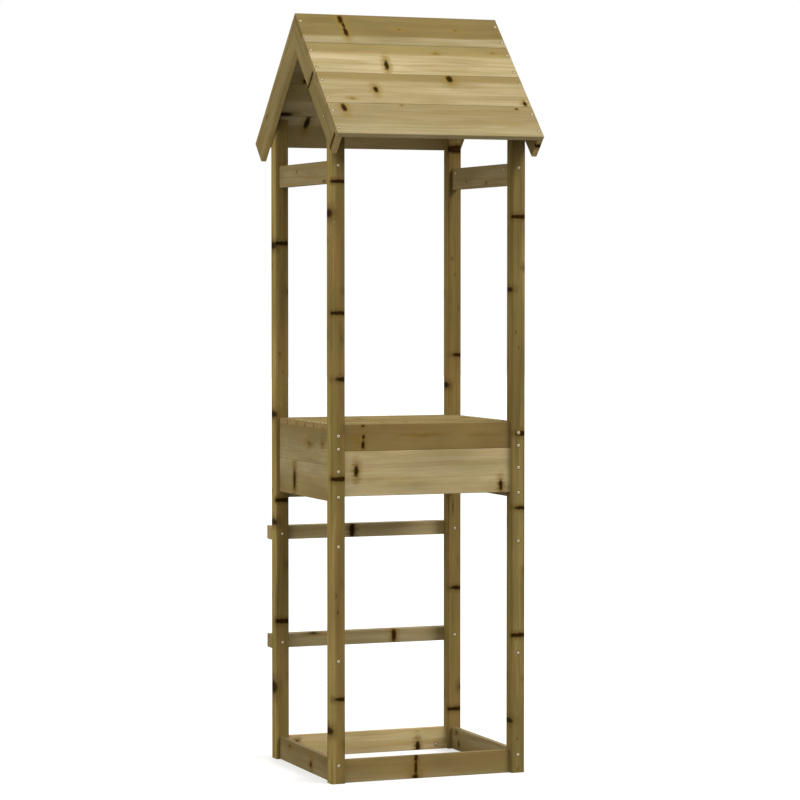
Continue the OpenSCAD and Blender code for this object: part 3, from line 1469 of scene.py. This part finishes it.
@dataclass
class SideRails(SubAssembly):
    """The two rails high on the sides, with slanted screws in their inner faces.

    Attributes:
        end_setbacks: Distances of the screws from the front and the back end, in millimetres.
        below_top: Distance of the screws below the rail's upper edge.
    """

    title: str = "side_rails"
    screw_head: ScrewHead = ScrewHead.DOMED
    screw_seed: int = 14
    end_setbacks: tuple[float, float] = (42.0, 25.0)
    below_top: float = 13.0

    def timbers(self) -> list[Timber]:
        """Lists the rails.

        Returns:
            The left and the right rail.
        """
        heart = Heart(0.0, 20.0, True, 0.2)
        return [
            Timber("top_rail_left", Run.FRONT_TO_BACK, (
                Knot(-150.0, -22.0, 10.0, 3.0, paleness=0.5), Knot(60.0, 10.0, 5.0, 4.0, paleness=0.7),
            ), heart, tone=0.76),
            Timber("top_rail_right", Run.FRONT_TO_BACK, (
                Knot(-36.0, -17.0, 6.0, 3.0, paleness=0.6), Knot(100.0, -8.0, 4.0, 2.5, paleness=0.8),
            ), heart, tone=1.0),
        ]

    def screws(self) -> list[ScrewPlace]:
        """Places a screw near each end of each rail.

        Returns:
            The places.
        """
        places = []
        front, back = self.end_setbacks
        for node in ("top_rail_left", "top_rail_right"):
            low, high = box_of(node)
            inner, outward = (high.x, X_AXIS) if low.x < 0.0 else (low.x, -X_AXIS)
            height = high.z - self.below_top * MM
            for y in (low.y + front * MM, high.y - back * MM):
                places.append(ScrewPlace(Vector((inner, y, height)), outward))
        return places


@dataclass
class Rungs(SubAssembly):
    """The two climbing rungs on the back posts, whose screws are the posts'."""

    title: str = "rungs"
    finish: TreatedPine = PANEL_PINE

    def timbers(self) -> list[Timber]:
        """Lists the rungs.

        Returns:
            The upper and the lower rung.
        """
        return [
            # Partly painted light: the upper rung's high tone lifts the platform's shade on it
            Timber("rung_upper", Run.CROSSWISE, (
                Knot(-36.0, 0.0, 7.0, 22.0, 18.0, 12.0), Knot(190.0, 4.0, 5.0, 8.0, -18.0, 10.0),
            ), tone=1.4, pith=(-24.0, -30.0)),
            Timber("rung_lower", Run.CROSSWISE, (
                Knot(83.0, 2.0, 6.0, 18.0, 18.0, 12.0), Knot(-146.0, 19.0, 12.0, 4.0, 14.0, 10.0),
                Knot(-60.0, -2.0, 6.0, 9.0, -18.0, 10.0),
            ), tone=0.82, pith=(24.0, -28.0)),
        ]


@dataclass
class Rafters(SubAssembly):
    """The four rafters on the posts' outer faces.

    Attributes:
        middle_depth: Depth of a rafter's middle below the roof's outer face, in millimetres.
    """

    title: str = "rafters"
    finish: TreatedPine = RAFTER_PINE
    screw_head: ScrewHead = ScrewHead.FLUSH
    screw_seed: int = 16
    middle_depth: float = 41.0

    def timbers(self) -> list[Timber]:
        """Lists the rafters.

        Returns:
            The two on the left and the two on the right.
        """
        # The edge factors paint light on the rafters' upper and lower edges.
        return [
            Timber("rafter_front_left", Run.RAFTER_FRONT, (
                Knot(-36.0, 0.0, 4.4, 70.0), Knot(-34.0, -24.0, 9.0, 8.0), Knot(190.0, 0.0, 4.2, 70.0),
            ), tone=0.65, painted_edge_light=1.35),
            Timber("rafter_back_left", Run.RAFTER_BACK, (
                Knot(90.0, 6.0, 8.0, 5.0, paleness=0.8),
            ), tone=0.67, painted_edge_light=2.3),
            Timber("rafter_front_right", Run.RAFTER_FRONT, (
                Knot(205.0, 4.0, 6.0, 5.0), Knot(-60.0, -6.0, 8.0, 7.0),
            ), tone=0.58),
            Timber("rafter_back_right", Run.RAFTER_BACK, (
                Knot(20.0, 8.0, 7.0, 6.0),
            ), tone=0.84),
        ]

    def screws(self) -> list[ScrewPlace]:
        """Places a screw through each rafter into its post.

        Returns:
            The places.
        """
        places = []
        side_face = CAD_BOX[1].x
        for side, outward in ((-1.0, -X_AXIS), (1.0, X_AXIS)):
            for node in ("post_front_right", "post_back_right"):
                low, high = box_of(node)
                y = (low.y + high.y) / 2
                z = CAD_BOX[1].z - abs(y) - self.middle_depth * MM / math.cos(ROOF_SLOPE)
                places.append(ScrewPlace(Vector((side * side_face, y, z)), outward))
        return places


@dataclass
class Roof(SubAssembly):
    """The gable roof: boards on both slopes.

    Attributes:
        boards_per_slope: Number of boards on a slope.
        front_edge_tone: Factor on the brightness of the front boards' edges, painted light on the eave.
        back_knots: Knots of a board on the back slope, away from those that show from below.
        back_tones: Least and greatest tone of a board on the back slope.
        back_pith: Greatest distance of the tree's middle across a back board, and its depth.
        back_heart: Greatest distance of the heartwood's edge from a back board's middle.
        screw_setbacks: Distances of a board's screws from its upper edge, in millimetres.
        end_setback: Distance of the screws from the boards' ends.
    """

    title: str = "roof"
    finish: TreatedPine = ROOF_PINE
    screw_head: ScrewHead = ScrewHead.ROOF
    screw_seed: int = 15
    boards_per_slope: int = 4
    front_edge_tone: float = 1.2
    back_knots: LooseKnots = LooseKnots(length=400.0, width=90.0, spacing=240.0, middle=80.0)
    back_tones: tuple[float, float] = (0.8, 0.9)
    back_pith: tuple[float, float] = (30.0, 62.0)
    back_heart: float = 30.0
    screw_setbacks: tuple[float, float] = (29.0, 93.0)
    end_setback: float = 8.0

    def timbers(self) -> list[Timber]:
        """Lists the roof boards of both slopes.

        Returns:
            The boards of the front slope and of the back slope, each from the ridge down.
        """
        return self._front_boards() + self._back_boards()

    def _front_boards(self) -> list[Timber]:
        """Lists the boards of the front slope, with the figure that the photograph shows.

        Returns:
            The boards from the ridge down.
        """
        boards = (
            (0.64, (-30.0, -60.0), Heart(22.0, 5.0, False, 0.8), (
                Knot(-159.0, -40.0, 7.0, 15.0, turn=10.0), Knot(-156.0, 8.0, 6.0, 17.0),
                Knot(-156.0, -18.0, 5.0, 18.0, paleness=0.3), Knot(150.0, -10.0, 12.0, 5.0, paleness=0.8),
                Knot(-6.0, -8.0, 14.0, 5.0, paleness=0.8),
            )),
            (0.83, (24.0, -64.0), Heart(-21.0, 7.0, False, 0.72), (
                Knot(-79.0, 24.0, 5.5, 18.0, turn=8.0), Knot(68.0, -28.0, 9.0, 4.0, paleness=0.75),
                Knot(230.0, -35.0, 9.0, 4.0, paleness=0.75),
            )),
            (0.76, (-16.0, -62.0), Heart(-28.0, 11.0, False, 0.7), (
                Knot(79.0, -42.0, 9.0, 13.0), Knot(-133.0, 5.0, 6.0, 11.0), Knot(261.0, 46.0, 5.0, 8.0),
                Knot(-205.0, 40.0, 9.0, 4.0, paleness=0.75),
            )),
            (0.68, (10.0, -70.0), Heart(14.0, 20.0, False, 0.35), (
                Knot(-236.0, -38.0, 7.0, 14.0), Knot(231.0, -46.0, 4.0, 3.0),
                Knot(-80.0, -50.0, 5.0, 3.0, paleness=0.6),
            )),
        )
        return [
            Timber(
                f"roof_board_front_{number}", Run.ROOF_FRONT, knots, heart, tone, pith,
                painted_edge_light=self.front_edge_tone,
            )
            for number, (tone, pith, heart, knots) in enumerate(boards, start=1)
        ]

    def _back_boards(self) -> list[Timber]:
        """Lists the boards of the back slope, of which the photograph shows some of the underside.

        Returns:
            The boards from the ridge down.
        """
        seen_below = {
            2: (Knot(-195.0, 45.0, 10.0, 10.0),),
            3: (Knot(-225.0, 50.0, 18.0, 6.0),),
            4: (Knot(-158.0, -35.0, 7.0, 22.0),),
        }
        aside, depth = self.back_pith
        boards = []
        for number in range(1, self.boards_per_slope + 1):
            node = f"roof_board_back_{number}"
            draw = random.Random(f"roof {number}")
            edge = draw.uniform(-self.back_heart, self.back_heart)
            boards.append(Timber(
                node,
                Run.ROOF_BACK,
                seen_below.get(number, ()) + self.back_knots.on(node),
                Heart(edge, blend=10.0, above=number % 2 == 0, depth=0.5),
                tone=draw.uniform(*self.back_tones),
                pith=(draw.uniform(-aside, aside), depth),
            ))
        return boards

    def screws(self) -> list[ScrewPlace]:
        """Places two screws in each end of each roof board.

        Returns:
            The places.
        """
        ridge = Vector((0.0, 0.0, CAD_BOX[1].z))
        half_length = CAD_BOX[1].x - self.end_setback * MM
        pitch = CAD_BOX[1].y / math.cos(ROOF_SLOPE) / self.boards_per_slope
        places = []
        for down, outward in ((DOWN_FRONT, -INTO_FRONT), (DOWN_BACK, OUT_BACK)):
            for number in range(self.boards_per_slope):
                for setback in self.screw_setbacks:
                    point = ridge + down * (number * pitch + setback * MM)
                    for x in (-half_length, half_length):
                        places.append(ScrewPlace(Vector((x, point.y, point.z)), outward))
        return places


@dataclass
class PhotoCamera:
    """Camera that stands and looks as the photograph's does.

    Attributes:
        image_px: Width of the picture in pixels.
        focal_px: Focal length in those pixels.
        sensor: Width of the sensor, in millimetres.
        yaw: Turn to the right of the straight view along +Y, in radians.
        pitch: Tilt below the horizon, in radians.
        place: Its place, in metres.
    """

    image_px: float = 800.0
    focal_px: float = 3004.6
    sensor: float = 36.0
    yaw: float = 0.3704
    pitch: float = 0.0394
    place: tuple[float, float, float] = (-2.8078, -7.2578, 1.2572)

    def build(self) -> None:
        """Makes the camera and sets it as the scene's own."""
        data = bpy.data.cameras.new("photo_camera")
        data.sensor_width = self.sensor
        data.lens = self.focal_px * self.sensor / self.image_px
        camera = bpy.data.objects.new("photo_camera", data)
        camera.location = self.place
        camera.rotation_euler = (math.pi / 2 - self.pitch, 0.0, -self.yaw)
        bpy.context.scene.collection.objects.link(camera)
        bpy.context.scene.camera = camera
        LOG.info("photo_camera: a lens of %.1f mm", data.lens)


@dataclass(frozen=True)
class Lamp:
    """One far lamp with soft shadows.

    Attributes:
        name: Its name.
        strength: Its strength.
        softness: Its angle as seen from the tower, which blurs the shadows, in degrees.
        way: Where it shines.
        colour: Its colour.
    """

    name: str
    strength: float
    softness: float
    way: tuple[float, float, float]
    colour: str = "#FFFFFF"

    def build(self) -> None:
        """Makes the lamp."""
        data = bpy.data.lights.new(self.name, "SUN")
        data.energy = self.strength
        data.angle = math.radians(self.softness)
        data.color = linear(self.colour)[:3]
        lamp = bpy.data.objects.new(self.name, data)
        lamp.rotation_mode = "QUATERNION"
        lamp.rotation_quaternion = Vector(self.way).to_track_quat("-Z", "Y")
        bpy.context.scene.collection.objects.link(lamp)
        LOG.info("%s: strength %.1f", self.name, self.strength)


@dataclass
class Studio:
    """Pale floor, white surround and soft lamps.

    Attributes:
        lamps: The main lamp high on the right front, a wide, slightly warm one on the left, and one behind.
        sky_strength: Strength of the white surround as light.
        floor_half: Half of the floor's side, in metres.
        floor_bounce: Share of the light that the floor throws on to the tower.
        floor_shade: Share of the light that the eye sees on it, which keeps the tower's shadow.
        floor_glow: Light of its own that makes it white to the eye.
    """

    lamps: tuple[Lamp, ...] = (
        Lamp("key_light", 2.6, 35.0, (-0.56, 0.53, -0.63)),
        Lamp("side_light", 2.2, 95.0, (0.92, 0.24, -0.28), "#FFFCEE"),
        Lamp("back_light", 1.2, 35.0, (-0.25, -0.85, -0.45)),
    )
    sky_strength: float = 0.4
    floor_half: float = 30.0
    floor_bounce: float = 0.22
    floor_shade: float = 0.5
    floor_glow: float = 0.56

    def build(self) -> None:
        """Makes the floor, the world and the lamps."""
        self._floor()
        self._world()
        for lamp in self.lamps:
            lamp.build()
        bpy.context.scene.view_settings.view_transform = "Standard"

    def _seen_directly(self, tree: Tree) -> Socket:
        """Tells rays from the camera, in a reflection and through glass from the rest.

        Args:
            tree: Node tree that gets the nodes.

        Returns:
            1 for those rays, and 0 for the rest.
        """
        seen = 0.0
        for ray in ("Is Camera Ray", "Is Glossy Ray", "Is Transmission Ray"):
            kind = add_node(tree, "ShaderNodeLightPath", out=ray)
            seen = add_node(tree, "ShaderNodeMath", {"operation": "MAXIMUM"}, {0: kind, 1: seen})
        return seen

    def _world(self) -> None:
        """Makes the surround: soft light on the tower, plain white to the eye."""
        world = bpy.data.worlds.new("studio_surround")
        tree = blank_tree(world)
        light = add_node(tree, "ShaderNodeBackground", None, {
            "Color": grey(1.0), "Strength": self.sky_strength,
        })
        view = add_node(tree, "ShaderNodeBackground", None, {"Color": grey(1.0), "Strength": 1.0})
        both = add_node(tree, "ShaderNodeMixShader", None, {0: self._seen_directly(tree), 1: light, 2: view})
        add_node(tree, "ShaderNodeOutputWorld", None, {"Surface": both})
        bpy.context.scene.world = world

    def _floor(self) -> None:
        """Makes a pale floor that looks white where it is lit and keeps the tower's shadow."""
        half = self.floor_half
        mesh = bpy.data.meshes.new("floor")
        corners = [(-half, -half, 0.0), (half, -half, 0.0), (half, half, 0.0), (-half, half, 0.0)]
        mesh.from_pydata(corners, [], [(0, 1, 2, 3)])
        floor = bpy.data.objects.new("floor", mesh)
        bpy.context.scene.collection.objects.link(floor)
        material = bpy.data.materials.new("pale_studio_floor")
        tree = blank_tree(material)
        bounce = add_node(tree, "ShaderNodeBsdfDiffuse", None, {"Color": grey(self.floor_bounce)})
        matt = add_node(tree, "ShaderNodeBsdfDiffuse", None, {"Color": grey(self.floor_shade)})
        glow = add_node(tree, "ShaderNodeEmission", None, {"Strength": self.floor_glow})
        lit = add_node(tree, "ShaderNodeAddShader", None, {0: matt, 1: glow})
        both = add_node(tree, "ShaderNodeMixShader", None, {0: self._seen_directly(tree), 1: bounce, 2: lit})
        add_node(tree, "ShaderNodeOutputMaterial", None, {"Surface": both})
        mesh.materials.append(material)


def main() -> None:
    """Builds the tower's looks in order, then the studio and the camera."""
    logging.basicConfig(level=logging.INFO, format="%(name)s: %(message)s")
    driver = ScrewDriver()
    for group in (Posts(), GroundFrame(), Platform(), SideRails(), Rungs(), Rafters(), Roof()):
        group.build(driver)
    Studio().build()
    PhotoCamera().build()


if __name__ == "__main__":
    main()
